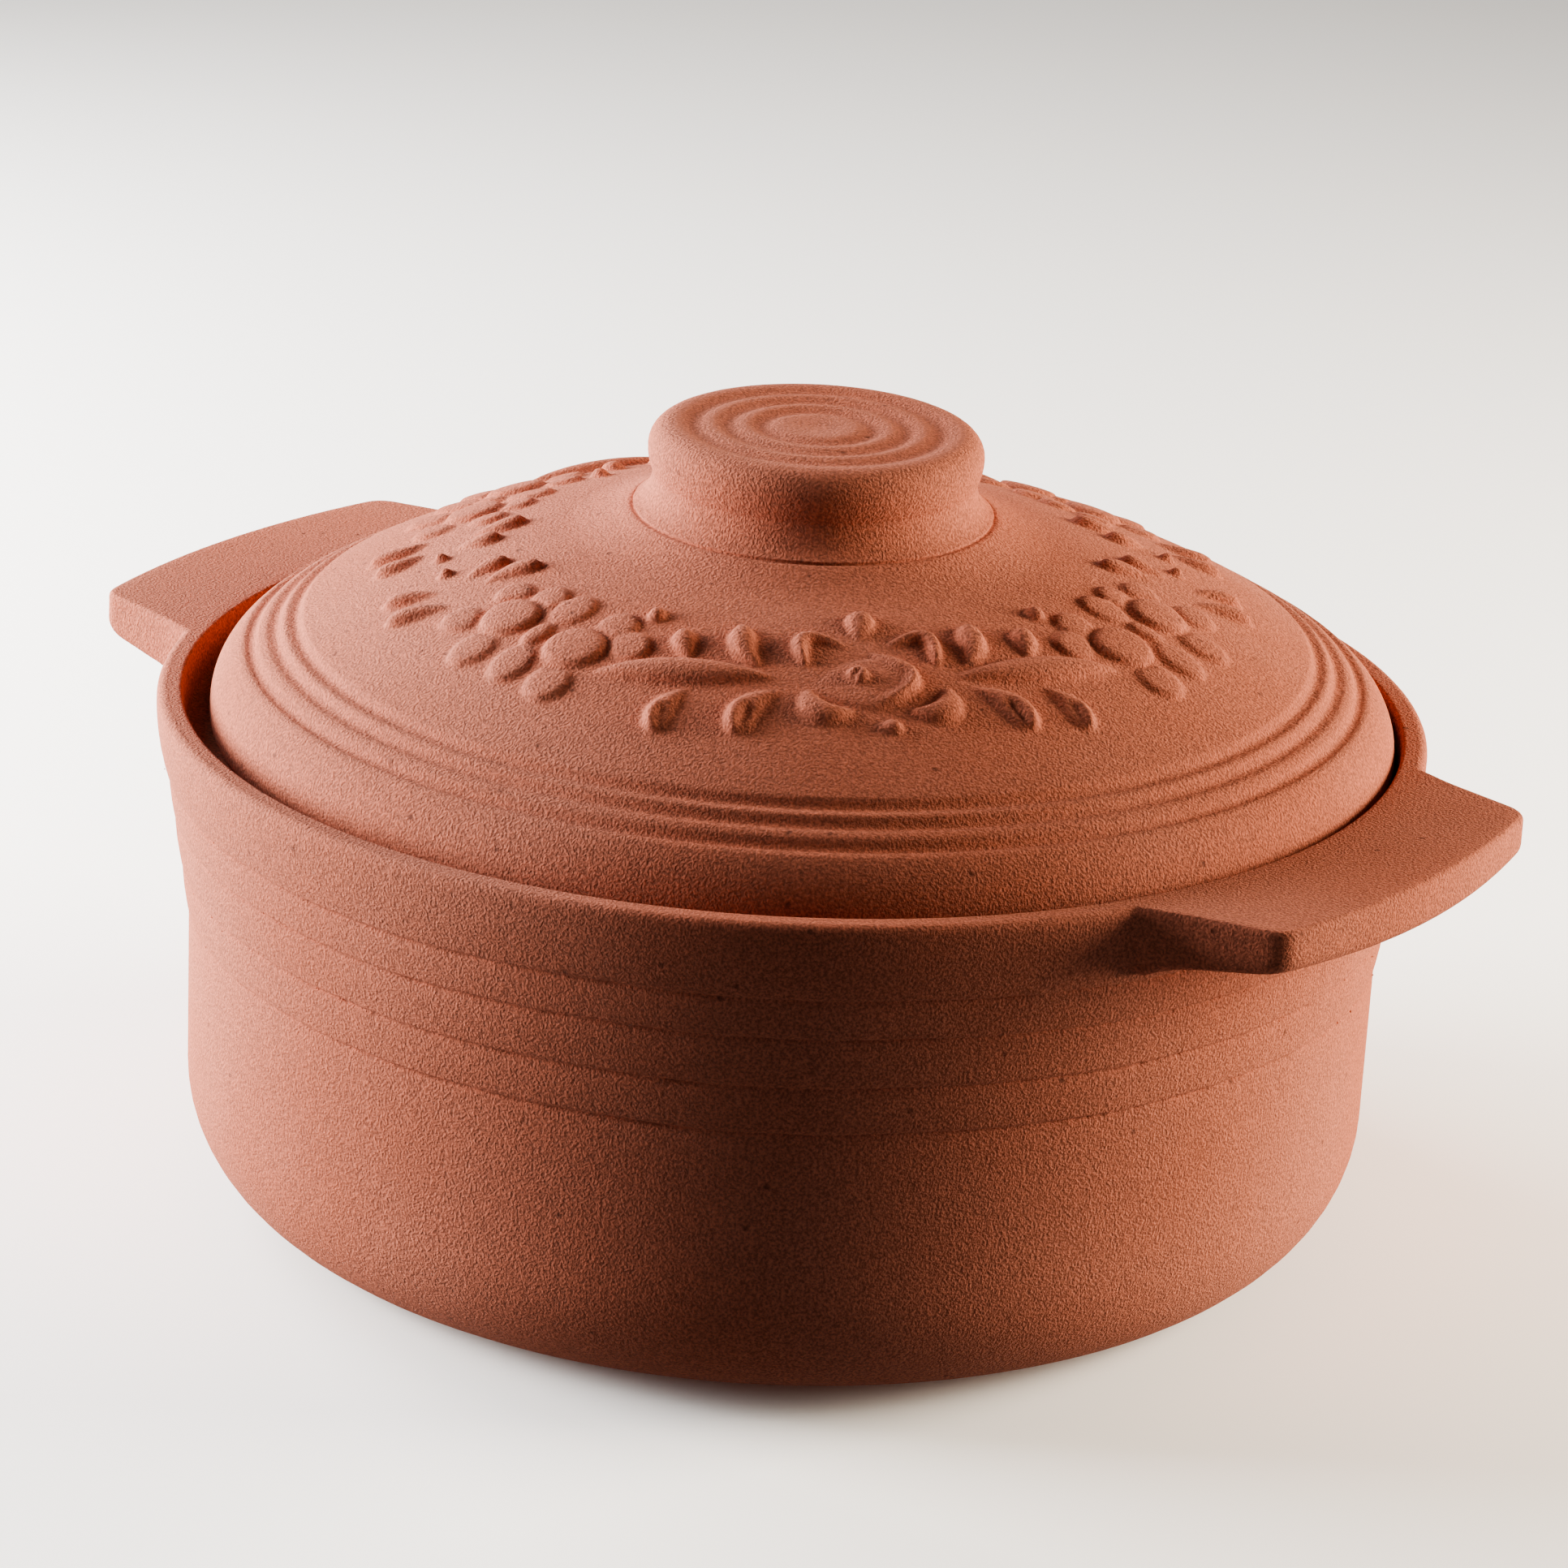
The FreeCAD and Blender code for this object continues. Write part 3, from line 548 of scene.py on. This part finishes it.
def knob_top(radius):
    """Height of the knob's ringed top."""
    height = np.full_like(radius, KNOB_HEIGHT)
    for centre in KNOB_GROOVES:
        share = np.clip(np.abs(radius - centre) / 3.45, 0, 1)
        height -= KNOB_GROOVE_DEPTH * 0.5 * (1 + np.cos(math.pi * share))
    dish = np.clip(radius / 7.5, 0, 1)
    return height - 0.45 * 0.5 * (1 + np.cos(math.pi * dish))


def lid_skin(settings):
    """Rings of the lid's skin, from the middle of the knob down over the wreath and edge, round the
    foot, and back to the middle of its hollow underside."""
    coarse, middle, close, fine = (np.arange(count) * 360 / count for count in (120, 240, 480, 960))

    def turned(points, turns):
        return [(np.full_like(turns, r), np.full_like(turns, z), turns) for r, z in points]

    def on_dome(radii, turns):
        return turned([(r, dome_height(r)) for r in radii], turns)

    rings = []
    flat = np.arange(1.0, 29.3, 0.97)
    rings += turned(list(zip(flat, knob_top(flat))), coarse)
    rings += turned(arc((29.2, 61.4), KNOB_ROUND, 84, 0, 8), coarse)
    rings += turned(arc((22.2, 61.33), 12, -6, -24, 4), coarse)
    rings += turned([(33.0, 56.15), (32.95, 55.7)], coarse)
    rings += turned(arc((41.0, 56.03), 8, 186, 236, 9), coarse)
    # the crease under the neck's collar
    rings += turned([(36.72, 49.3), (36.66, 49.12), (36.5, 48.85)], middle)
    rings += turned([(36.6, 48.62), (37.05, 48.68), (37.3, 48.7)], middle)
    flare = [(r, 43.73 + (50 - r) * 0.236 + 0.0133 * (50 - r) ** 2) for r in (37.8, 39, 41, 43, 45, 47)]
    rings += turned(flare, middle)
    rings += on_dome((49.4,), middle)
    rings += on_dome((50.4,), close)
    band = np.arange(51.2, 92.6, 0.56)
    relief = wreath_height(fine, band, settings)
    lean = band[:, None] / DOME_RADIUS
    out = band[:, None] + relief * lean
    high = dome_height(band)[:, None] + relief * np.sqrt(1 - lean**2)
    rings += [(out[row], high[row], fine) for row in range(len(band))]
    rings += on_dome((93.4,), close)
    rings += on_dome((94.6, 96.4, 98.2, 100.0, 101.4, 102.3), middle)
    edge = np.arange(102.7, 116.0, 0.42)
    depth = valley_depth(edge)
    lean = edge / DOME_RADIUS
    valley = zip(edge - depth * lean, dome_height(edge) - depth * np.sqrt(1 - lean**2))
    edge_arc = arc((107.0, 4.69), 14.5, 57, 0, 13)
    rings += turned([point for point in valley if point[0] < edge_arc[0][0] - 0.2], middle)
    rings += turned(edge_arc, middle)
    rings += turned(arc((118.5, 3.0), 3.0, 0, -90, 6), middle)
    rings += turned([(116, 0), (113, 0)], middle)
    rings += turned([(112, 0.0), (111.6, 1.4), (110.4, 5.6), (109.2, 9.8), (108.6, 10.7)], coarse)
    under = np.sin(np.radians(np.linspace(30.6, 0.6, 24))) * (DOME_RADIUS - LID_WALL)
    hollow = DOME_APEX - DOME_RADIUS + np.sqrt((DOME_RADIUS - LID_WALL) ** 2 - under**2)
    rings += turned(list(zip(under, hollow)), coarse)
    placed = []
    for r, z, turns in rings:
        angle = np.radians(turns + LID_TURN)
        placed.append(np.stack(
            [r * np.cos(angle) + LID_SHIFT[0], r * np.sin(angle) + LID_SHIFT[1], z + LID_SEAT], axis=1))
    return placed


def add_node(tree, kind, settings=None, inputs=None):
    """Adds one node, with its settings and with its inputs given as numbers or as outputs to link."""
    node = tree.nodes.new(kind)
    for name, setting in (settings or {}).items():
        setattr(node, name, setting)
    for name, given in (inputs or {}).items():
        if isinstance(given, bpy.types.NodeSocket):
            tree.links.new(given, node.inputs[name])
        else:
            node.inputs[name].default_value = given
    return node


def fired_clay(settings):
    """Unglazed terracotta, cast or thrown and left bare after firing: quite matt, a little paler in
    cloudy patches of fine dust, with a sandy skin, dark specks of grit and faint turning marks."""
    material = bpy.data.materials.new("unglazed_terracotta_fired")
    material.use_nodes = True
    tree = material.node_tree
    tree.nodes.clear()
    place = add_node(tree, "ShaderNodeTexCoord").outputs["Object"]
    split = add_node(tree, "ShaderNodeSeparateXYZ", inputs={"Vector": place})
    squares = [
        add_node(tree, "ShaderNodeMath", {"operation": "MULTIPLY"},
                 {0: split.outputs[axis], 1: split.outputs[axis]})
        for axis in ("X", "Y")]
    summed = add_node(tree, "ShaderNodeMath", {"operation": "ADD"},
                      {0: squares[0].outputs[0], 1: squares[1].outputs[0]})
    radius = add_node(tree, "ShaderNodeMath", {"operation": "SQRT"}, {0: summed.outputs[0]})
    # turning marks: fine rings about half a millimetre apart that fade in and out round the pot
    ring_place = add_node(tree, "ShaderNodeCombineXYZ", inputs={
        "X": radius.outputs[0], "Y": split.outputs["Z"]})
    rings = add_node(tree, "ShaderNodeTexNoise", inputs={
        "Vector": ring_place.outputs[0], "Scale": 900.0, "Detail": 2.0})
    fade = add_node(tree, "ShaderNodeTexNoise", inputs={"Vector": place, "Scale": 18.0, "Detail": 1.0})
    # sandy skin: grains a little over a quarter of a millimetre across, rather coarser than the real
    # ones so that they show
    grain_scale = 0.5 / settings.grain_size
    sand = add_node(tree, "ShaderNodeTexNoise", inputs={
        "Vector": place, "Scale": grain_scale, "Detail": 2.0, "Roughness": 0.6})
    coarse = add_node(tree, "ShaderNodeTexNoise", inputs={"Vector": place, "Scale": 260.0, "Detail": 2.0})
    pits = add_node(tree, "ShaderNodeTexVoronoi", inputs={"Vector": place, "Scale": 420.0})
    pit = add_node(tree, "ShaderNodeMapRange", inputs={
        "Value": pits.outputs["Distance"], "From Min": 0.0, "From Max": 0.16, "To Min": 0.0, "To Max": 1.0})
    # cloudy tone over several centimetres, and finer mottling
    cloud = add_node(tree, "ShaderNodeTexNoise", inputs={"Vector": place, "Scale": 14.0, "Detail": 3.0})
    body = (*settings.body_colour, 1.0)
    dust = (*settings.dust_colour, 1.0)
    shade = add_node(tree, "ShaderNodeMapRange", inputs={
        "Value": cloud.outputs["Fac"], "From Min": 0.3, "From Max": 0.7, "To Min": 0.0, "To Max": 0.22})
    tone = add_node(tree, "ShaderNodeMix", {"data_type": "RGBA"}, {0: shade.outputs[0], 6: body, 7: dust})
    speckle = add_node(tree, "ShaderNodeMapRange", inputs={
        "Value": sand.outputs["Fac"], "From Min": 0.36, "From Max": 0.66, "To Min": 0.64, "To Max": 1.26})
    grained = add_node(tree, "ShaderNodeVectorMath", {"operation": "SCALE"}, {
        0: tone.outputs[2], "Scale": speckle.outputs[0]})
    # grit: one dark speck in a few dozen grains
    specks = add_node(tree, "ShaderNodeTexVoronoi", inputs={"Vector": place, "Scale": 330.0})
    speck_pick = add_node(tree, "ShaderNodeSeparateColor", inputs={"Color": specks.outputs["Color"]})
    chosen = add_node(tree, "ShaderNodeMath", {"operation": "GREATER_THAN"}, {
        0: speck_pick.outputs[0], 1: 0.955})
    near = add_node(tree, "ShaderNodeMapRange", inputs={
        "Value": specks.outputs["Distance"], "From Min": 0.12, "From Max": 0.26,
        "To Min": 1.0, "To Max": 0.0})
    speck = add_node(tree, "ShaderNodeMath", {"operation": "MULTIPLY"}, {
        0: chosen.outputs[0], 1: near.outputs[0]})
    dark = add_node(tree, "ShaderNodeMath", {"operation": "MULTIPLY"}, {0: speck.outputs[0], 1: 0.6})
    colour = add_node(tree, "ShaderNodeMix", {"data_type": "RGBA"}, {
        0: dark.outputs[0], 6: grained.outputs[0], 7: (*linear("#4A2318"), 1.0)})
    # relief of the skin
    marks = add_node(tree, "ShaderNodeMath", {"operation": "MULTIPLY"}, {
        0: rings.outputs["Fac"], 1: fade.outputs["Fac"]})
    skin = add_node(tree, "ShaderNodeMath", {"operation": "MULTIPLY_ADD"}, {
        0: marks.outputs[0], 1: 0.35, 2: sand.outputs["Fac"]})
    skin = add_node(tree, "ShaderNodeMath", {"operation": "MULTIPLY_ADD"}, {
        0: coarse.outputs["Fac"], 1: 0.08, 2: skin.outputs[0]})
    skin = add_node(tree, "ShaderNodeMath", {"operation": "MULTIPLY_ADD"}, {
        0: pit.outputs[0], 1: 0.2, 2: skin.outputs[0]})
    bump = add_node(tree, "ShaderNodeBump", inputs={
        "Height": skin.outputs[0], "Strength": 1.0, "Distance": 0.44 * MM})
    shader = add_node(tree, "ShaderNodeBsdfPrincipled", inputs={
        "Base Color": colour.outputs[2], "Roughness": 0.92, "IOR": 1.5, "Specular IOR Level": 0.25,
        "Diffuse Roughness": 0.6, "Normal": bump.outputs[0]})
    add_node(tree, "ShaderNodeOutputMaterial", inputs={"Surface": shader.outputs[0]})
    return material


def clay():
    """The one clay that every piece is made of."""
    found = bpy.data.materials.get("unglazed_terracotta_fired")
    return found or fired_clay(bpy.context.scene.roaster_clay)


def crumb_tree(material):
    """Scatters crumbs along a path: even steps, then each moved, turned and sized at random."""
    tree = bpy.data.node_groups.new("crumbs_in_creases", "GeometryNodeTree")
    tree.interface.new_socket("Geometry", in_out="OUTPUT", socket_type="NodeSocketGeometry")
    for name, kind in (("Geometry", "Geometry"), ("Spacing", "Float"), ("Size", "Float"), ("Seed", "Int")):
        tree.interface.new_socket(name, in_out="INPUT", socket_type="NodeSocket" + kind)
    given = add_node(tree, "NodeGroupInput").outputs
    path = add_node(tree, "GeometryNodeMeshToCurve", inputs={"Mesh": given["Geometry"]})
    points = add_node(tree, "GeometryNodeCurveToPoints", {"mode": "LENGTH"}, {
        "Curve": path.outputs[0], "Length": given["Spacing"]})
    keep = add_node(tree, "FunctionNodeRandomValue", {"data_type": "BOOLEAN"}, {
        "Probability": 0.45, "Seed": given["Seed"]})
    thinned = add_node(tree, "GeometryNodeDeleteGeometry", {"domain": "POINT"}, {
        "Geometry": points.outputs[0], "Selection": keep.outputs[3]})
    spread = add_node(tree, "FunctionNodeRandomValue", {"data_type": "FLOAT_VECTOR"}, {
        0: (-0.0009, -0.0009, -0.00025), 1: (0.0009, 0.0009, 0.00025), "Seed": given["Seed"]})
    moved = add_node(tree, "GeometryNodeSetPosition", inputs={
        "Geometry": thinned.outputs[0], "Offset": spread.outputs[0]})
    grain = add_node(tree, "GeometryNodeMeshIcoSphere", inputs={"Radius": given["Size"], "Subdivisions": 1})
    turn = add_node(tree, "FunctionNodeRandomValue", {"data_type": "FLOAT_VECTOR"}, {
        0: (0.0, 0.0, 0.0), 1: (6.28, 6.28, 6.28), "Seed": given["Seed"]})
    scale = add_node(tree, "FunctionNodeRandomValue", {"data_type": "FLOAT_VECTOR"}, {
        0: (0.3, 0.3, 0.3), 1: (1.0, 0.8, 0.6), "Seed": given["Seed"]})
    placed = add_node(tree, "GeometryNodeInstanceOnPoints", inputs={
        "Points": moved.outputs[0], "Instance": grain.outputs[0], "Rotation": turn.outputs[0],
        "Scale": scale.outputs[0]})
    solid = add_node(tree, "GeometryNodeRealizeInstances", inputs={"Geometry": placed.outputs[0]})
    finished = add_node(tree, "GeometryNodeSetMaterial", inputs={
        "Geometry": solid.outputs[0], "Material": material})
    add_node(tree, "NodeGroupOutput", inputs={"Geometry": finished.outputs[0]})
    return tree


class OBJECT_OT_roaster_pot(bpy.types.Operator):
    """Build the pot's skin with its bands, rim and ear handles"""

    bl_idname = "object.roaster_pot"
    bl_label = "Pot"

    def execute(self, context):
        points, faces = stitch(pot_skin(context.scene.roaster_pot))
        pot = mesh_object("pot_skin", points, faces, clay())
        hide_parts("pot")
        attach(pot, "root")
        return {"FINISHED"}


class OBJECT_OT_roaster_lid(bpy.types.Operator):
    """Build the lid's skin with its ringed knob, wreath and ringed edge"""

    bl_idname = "object.roaster_lid"
    bl_label = "Lid"

    def execute(self, context):
        points, faces = stitch(lid_skin(context.scene.roaster_lid))
        lid = mesh_object("lid_skin", points, faces, clay())
        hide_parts("lid")
        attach(lid, "root")
        return {"FINISHED"}


class OBJECT_OT_roaster_crumbs(bpy.types.Operator):
    """Scatter small crumbs of clay along the creases under the rim"""

    bl_idname = "object.roaster_crumbs"
    bl_label = "Crumbs"

    def execute(self, context):
        settings = context.scene.roaster_crumbs
        softness = context.scene.roaster_pot.crease_softness
        paths = bpy.data.meshes.new("crumb_paths")
        points, edges = [], []
        for level, _ in CREASES:
            height = level + 0.35
            radius = float(wall_radius(np.array([height]), softness)[0]) - 0.1
            start = len(points)
            for turn in np.radians(np.arange(0, 360, 2.0)):
                points.append((radius * math.cos(turn) * MM, radius * math.sin(turn) * MM, height * MM))
            edges += [(start + i, start + (i + 1) % 180) for i in range(180)]
        paths.from_pydata(points, edges, [])
        crumbs = bpy.data.objects.new("clay_crumbs", paths)
        context.scene.collection.objects.link(crumbs)
        modifier = crumbs.modifiers.new("scatter", "NODES")
        modifier.node_group = crumb_tree(clay())
        sockets = {item.name: item.identifier for item in modifier.node_group.interface.items_tree
                   if item.in_out == "INPUT"}
        modifier[sockets["Spacing"]] = 2 * math.pi * 0.125 / max(settings.count, 1)
        modifier[sockets["Size"]] = settings.size
        modifier[sockets["Seed"]] = 7
        context.view_layer.update()
        made = bpy.data.meshes.new_from_object(crumbs.evaluated_get(context.evaluated_depsgraph_get()))
        crumbs.modifiers.clear()
        crumbs.data = made
        made.name = "clay_crumbs"
        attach(crumbs, "root")
        return {"FINISHED"}


# Each soft box's place beside, ahead of and above the pot's middle in metres, its watts and colour.
SOFT_BOXES = (
    ("left_soft_box", (-0.95, 0.12, 0.12), 57.0, "#FFFBF7"),
    ("right_soft_box", (0.95, 0.14, 0.12), 47.0, "#FFF0DA"),
    ("rear_soft_box", (-0.7, 0.6, 0.3), 16.0, "#FFFFFF"),
)
SOFT_BOX_SIZE, AIR_STRENGTH = (0.5, 0.7), 0.146
# The camera's place right of, below and back from the pot's mouth in metres, its lens in mm, its shift.
CAMERA_OFFSET, CAMERA_LENS, CAMERA_SHIFT = (0.002588, -0.017668, 1.36843), 152.95, 0.0021


def soft_light(name, place, aim, size, power, colour):
    """A large soft box."""
    light = bpy.data.lights.new(name, "AREA")
    light.shape = "RECTANGLE"
    light.size, light.size_y = size
    light.energy = power
    light.color = linear(colour)
    lamp = bpy.data.objects.new(name, light)
    lamp.location = place
    lamp.rotation_mode = "QUATERNION"
    lamp.rotation_quaternion = (Vector(aim) - Vector(place)).to_track_quat("-Z", "Y")
    bpy.context.scene.collection.objects.link(lamp)
    return lamp


class OBJECT_OT_roaster_stage(bpy.types.Operator):
    """Set up the floor, the soft lights and the camera"""

    bl_idname = "object.roaster_stage"
    bl_label = "Stage"

    def execute(self, context):
        scene, settings = context.scene, context.scene.roaster_stage
        mesh = bpy.data.meshes.new("studio_floor")
        mesh.from_pydata([(-9, -9, 0), (9, -9, 0), (9, 9, 0), (-9, 9, 0)], [], [(0, 1, 2, 3)])
        floor = bpy.data.objects.new("studio_floor", mesh)
        scene.collection.objects.link(floor)
        paper = bpy.data.materials.new("matt_background_paper")
        paper.use_nodes = True
        shader = paper.node_tree.nodes["Principled BSDF"]
        shader.inputs["Base Color"].default_value = (*settings.floor_colour, 1.0)
        shader.inputs["Roughness"].default_value = 0.95
        shader.inputs["Specular IOR Level"].default_value = 0.1
        mesh.materials.append(paper)
        # the paper throws no bounced light up on to the clay
        floor.visible_diffuse = False

        side = Vector((math.cos(settings.azimuth), math.sin(settings.azimuth), 0))
        ahead = Vector((-math.sin(settings.azimuth), math.cos(settings.azimuth), 0))
        up = Vector((0, 0, 1))
        middle = Vector((0, 0, 0.08))
        for name, (beside, away, above), power, colour in SOFT_BOXES:
            lamp_place = middle + side * beside + ahead * away + up * above
            soft_light(name, lamp_place, middle, SOFT_BOX_SIZE, power, colour)
        world = bpy.data.worlds.new("studio_air")
        world.use_nodes = True
        world.node_tree.nodes["Background"].inputs["Color"].default_value = (1, 1, 1, 1)
        world.node_tree.nodes["Background"].inputs["Strength"].default_value = AIR_STRENGTH
        scene.world = world
        scene.view_settings.look = "AgX - Medium High Contrast"

        tilt, turn = settings.elevation, settings.roll
        forward = ahead * math.cos(tilt) - up * math.sin(tilt)
        down = forward.cross(side)
        right = side * math.cos(turn) - down * math.sin(turn)
        down = side * math.sin(turn) + down * math.cos(turn)
        pot_mouth = Vector((0, 0, POT_BOX[1].z))
        offset = Vector(CAMERA_OFFSET)
        place = pot_mouth - right * offset.x - down * offset.y - forward * offset.z
        data = bpy.data.cameras.new("camera")
        data.sensor_width = 36.0
        data.lens, data.shift_x = CAMERA_LENS, CAMERA_SHIFT
        camera = bpy.data.objects.new("camera", data)
        basis = Matrix((right, -down, -forward)).transposed()
        camera.matrix_world = Matrix.Translation(place) @ basis.to_4x4()
        scene.collection.objects.link(camera)
        scene.camera = camera
        return {"FINISHED"}


class VIEW3D_PT_roaster(bpy.types.Panel):
    """Buttons and settings of the clay roaster"""

    bl_label = "Clay Roaster"
    bl_space_type = "VIEW_3D"
    bl_region_type = "UI"
    bl_category = "Clay Roaster"

    def draw(self, context):
        for label, operator, group in PANEL_ROWS:
            box = self.layout.box()
            box.operator(operator, text=label)
            if group:
                settings = getattr(context.scene, group)
                for name in settings.bl_rna.properties.keys():
                    if name not in ("rna_type", "name"):
                        box.prop(settings, name)


PANEL_ROWS = (
    ("Pot", "object.roaster_pot", "roaster_pot"),
    ("Lid", "object.roaster_lid", "roaster_lid"),
    ("Crumbs", "object.roaster_crumbs", "roaster_crumbs"),
    ("Stage", "object.roaster_stage", "roaster_stage"),
)
GROUPS = {
    "roaster_pot": PotSettings,
    "roaster_lid": LidSettings,
    "roaster_clay": ClaySettings,
    "roaster_crumbs": CrumbSettings,
    "roaster_stage": StageSettings,
}
OTHERS = (
    OBJECT_OT_roaster_pot, OBJECT_OT_roaster_lid, OBJECT_OT_roaster_crumbs, OBJECT_OT_roaster_stage,
    VIEW3D_PT_roaster,
)


def register():
    for name, group in GROUPS.items():
        bpy.utils.register_class(group)
        setattr(bpy.types.Scene, name, bpy.props.PointerProperty(type=group))
    for item in OTHERS:
        bpy.utils.register_class(item)


def unregister():
    for item in reversed(OTHERS):
        bpy.utils.unregister_class(item)
    for name, group in reversed(GROUPS.items()):
        delattr(bpy.types.Scene, name)
        bpy.utils.unregister_class(group)


def main():
    """Builds every piece and the stage."""
    register()
    bpy.ops.object.roaster_pot()
    bpy.ops.object.roaster_lid()
    bpy.ops.object.roaster_crumbs()
    bpy.ops.object.roaster_stage()


if __name__ == "__main__":
    main()
